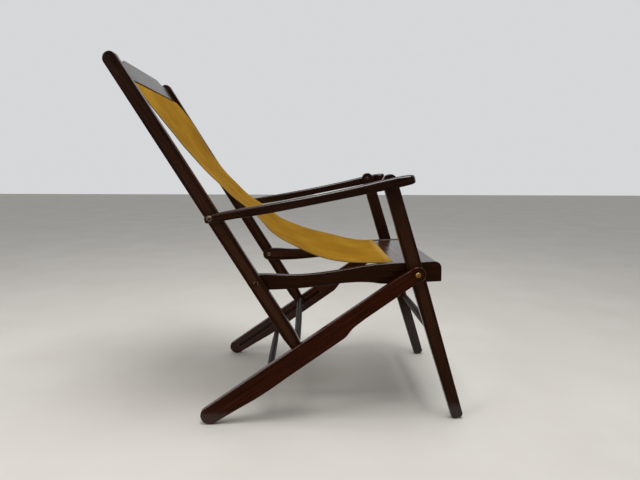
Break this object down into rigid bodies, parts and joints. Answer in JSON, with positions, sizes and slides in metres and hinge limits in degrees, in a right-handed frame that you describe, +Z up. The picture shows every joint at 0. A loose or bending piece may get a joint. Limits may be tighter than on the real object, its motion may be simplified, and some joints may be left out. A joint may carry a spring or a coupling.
{
  "type": "folding camp chair",
  "caption": "Low folding lounge chair with a pivoted dark hardwood frame, flat arms and a hanging canvas sling seat and back.",
  "frame": {"origin": "on the floor, under the middle of the open chair's bounding box", "axes": "+X the way a sitter faces, +Y the sitter's left, +Z up"},
  "size_m": [0.9208, 0.5382, 0.955],
  "materials": {
    "hardwood": "dark stained, polished",
    "brass": "satin",
    "canvas": "matt woven canvas"
  },
  "bodies": {
    "seat": {"seat_rail_left": "hardwood", "back_pivot_bolt_left": "brass", "back_pivot_nut_left": "brass", "leg_pivot_bolt_left": "brass", "leg_pivot_nut_left": "brass", "seat_rail_right": "hardwood", "back_pivot_bolt_right": "brass", "back_pivot_nut_right": "brass", "leg_pivot_bolt_right": "brass", "leg_pivot_nut_right": "brass", "seat_front_board": "hardwood", "canvas_sling": "canvas"},
    "back": {"back_post_left": "hardwood", "back_pivot_washer_left": "brass", "back_post_right": "hardwood", "back_pivot_washer_right": "brass", "crest_rail": "hardwood", "recline_bar": "hardwood"},
    "front_legs": {"front_leg_left": "hardwood", "arm_front_screw_left": "brass", "arm_front_washer_left": "brass", "front_leg_right": "hardwood", "arm_front_screw_right": "brass", "arm_front_washer_right": "brass", "front_stretcher": "hardwood"},
    "arm_left": {"arm_left": "hardwood", "arm_back_washer_left": "brass", "arm_back_screw_left": "brass"},
    "arm_right": {"arm_right": "hardwood", "arm_back_washer_right": "brass", "arm_back_screw_right": "brass"},
    "recline_pins": {"recline_pin_left": "brass", "recline_pin_right": "brass"},
    "rear_legs": {"rear_leg_left": "hardwood", "rear_leg_screw_left": "brass", "rear_leg_right": "hardwood", "rear_leg_screw_right": "brass", "rear_stretcher": "hardwood"}
  },
  "joints": [
    {"name": "back_fold", "type": "hinge", "parent": "seat", "child": "back", "pos_m": [-0.09923, 0, 0.379], "axis": [0, 1, 0], "range_deg": [0, 110]},
    {"name": "front_legs_fold", "type": "hinge", "parent": "seat", "child": "front_legs", "pos_m": [0.32077, 0, 0.4055], "axis": [0, 1, 0], "range_deg": [0, 92.55]},
    {"name": "arm_left_fold", "type": "hinge", "parent": "back", "child": "arm_left", "pos_m": [-0.20953, 0, 0.55066], "axis": [0, 1, 0], "range_deg": [-104.56, 0]},
    {"name": "arm_right_fold", "type": "hinge", "parent": "back", "child": "arm_right", "pos_m": [-0.20953, 0, 0.55066], "axis": [0, 1, 0], "range_deg": [-104.56, 0]},
    {"name": "recline_pins_turn", "type": "hinge", "parent": "back", "child": "recline_pins", "pos_m": [0.01563, 0, 0.1923], "axis": [0, 1, 0], "range_deg": [-81.7, 0]},
    {"name": "rear_legs_slide", "type": "slide", "parent": "recline_pins", "child": "rear_legs", "axis": [0.8197, 0, 0.5727], "range_m": [0, 0.26689]}
  ],
  "couplings": [
    {"joint": "front_legs_fold", "follows": "back_fold", "ratio": 0.83862},
    {"joint": "arm_left_fold", "follows": "back_fold", "ratio": -0.94786},
    {"joint": "arm_right_fold", "follows": "back_fold", "ratio": -0.94786},
    {"joint": "recline_pins_turn", "follows": "back_fold", "ratio": -0.74003},
    {"joint": "rear_legs_slide", "follows": "back_fold", "m_per_rad": 0.13875}
  ]
}
